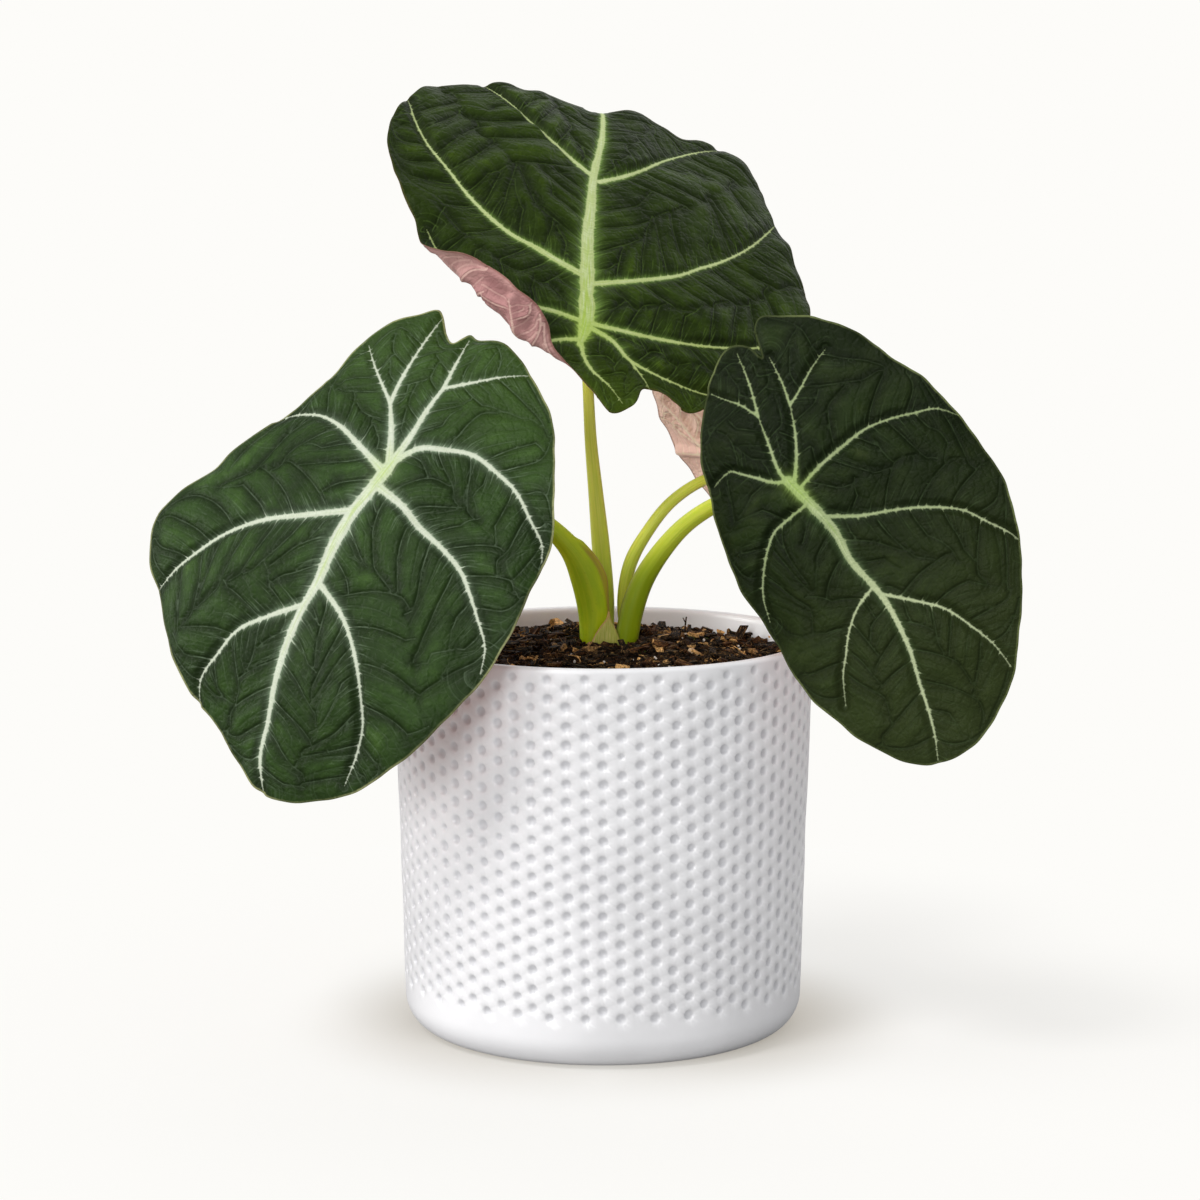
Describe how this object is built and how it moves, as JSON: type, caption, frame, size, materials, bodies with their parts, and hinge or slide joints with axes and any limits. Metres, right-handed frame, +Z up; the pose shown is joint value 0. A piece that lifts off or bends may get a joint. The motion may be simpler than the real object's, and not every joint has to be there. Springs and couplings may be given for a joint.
{
  "type": "potted black velvet alocasia",
  "caption": "Velvety dark shield-shaped leaves with pale veins on arching stalks, in a dimpled white cylinder pot filled with bark soil.",
  "frame": {"origin": "centre of the pot's flat base, on the surface the pot stands on", "axes": "+Z up along the pot's axis; -Y is the front, the side the leaves face in the picture; +X to the right seen from the front"},
  "size_m": [0.2605, 0.1664, 0.2919],
  "materials": {
    "pot_glaze": "satin white glaze over small round dimples",
    "soil_mix": "dark bark chips and fibres with a few pale grains",
    "stalk_green": "smooth juicy yellow-green stalk",
    "papery_sheath": "thin dry papery scale leaf",
    "leaf_velvet": "velvety dark green face with pale sunken veins, pale pinkish underside"
  },
  "bodies": {
    "root": {"pot": "pot_glaze", "soil": "soil_mix", "stem_base": "stalk_green", "scale_leaf": "papery_sheath", "leaf_top": "leaf_velvet", "leaf_left": "leaf_velvet", "leaf_right": "leaf_velvet", "leaf_back": "leaf_velvet"}
  },
  "joints": []
}
